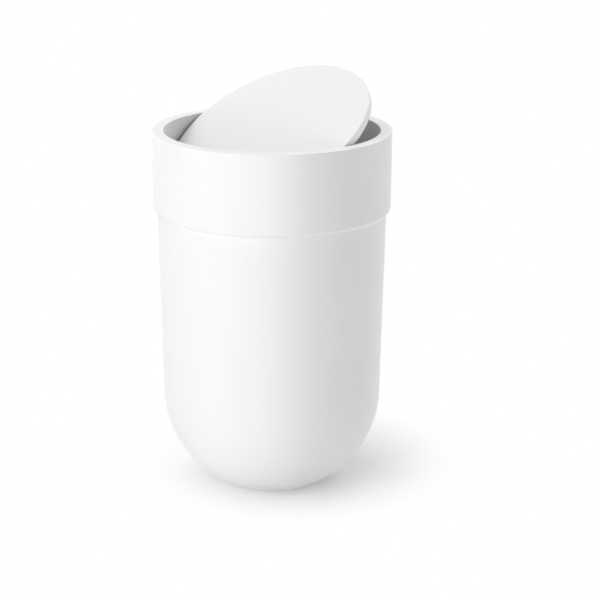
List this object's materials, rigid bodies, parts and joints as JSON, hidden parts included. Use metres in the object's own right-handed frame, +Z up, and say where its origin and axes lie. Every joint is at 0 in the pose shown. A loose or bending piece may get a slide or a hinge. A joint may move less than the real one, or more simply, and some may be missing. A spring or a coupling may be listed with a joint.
{
  "type": "swing-lid waste bin",
  "caption": "Small round white waste bin with a domed foot, a deep lift-off collar and a flat swing lid that turns on a hinge across its middle.",
  "frame": {"origin": "middle of the base, on the surface the bin stands on", "axes": "+Z up along the bin's axis; X along the lid's hinge axis; -Y is the front, the edge of the lid that is pushed down"},
  "size_m": [0.203, 0.203, 0.3608],
  "materials": {
    "bin_plastic": "fine satin moulded plastic, white",
    "collar_plastic": "fine satin moulded plastic, white",
    "lid_plastic": "fine satin moulded plastic, white",
    "bush_acetal": "natural acetal, slightly waxy",
    "pin_steel": "ground steel pin",
    "weight_steel": "zinc-plated steel"
  },
  "bodies": {
    "bin": {"bin_body": "bin_plastic"},
    "collar_ring": {"collar": "collar_plastic", "pivot_bush_left": "bush_acetal", "pivot_bush_right": "bush_acetal"},
    "lid": {"swing_lid": "lid_plastic", "pivot_pin_left": "pin_steel", "pivot_pin_right": "pin_steel", "counterweight": "weight_steel", "weight_cover": "lid_plastic", "cover_screw_back": "weight_steel", "cover_screw_left": "weight_steel", "cover_screw_right": "weight_steel"}
  },
  "joints": [
    {"name": "collar_lift", "type": "slide", "parent": "bin", "child": "collar_ring", "axis": [0, 0, 1], "range_m": [0, 0.06]},
    {"name": "lid_swing", "type": "hinge", "parent": "collar_ring", "child": "lid", "pos_m": [0, 0, 0.31], "axis": [1, 0, 0], "continuous": true}
  ]
}
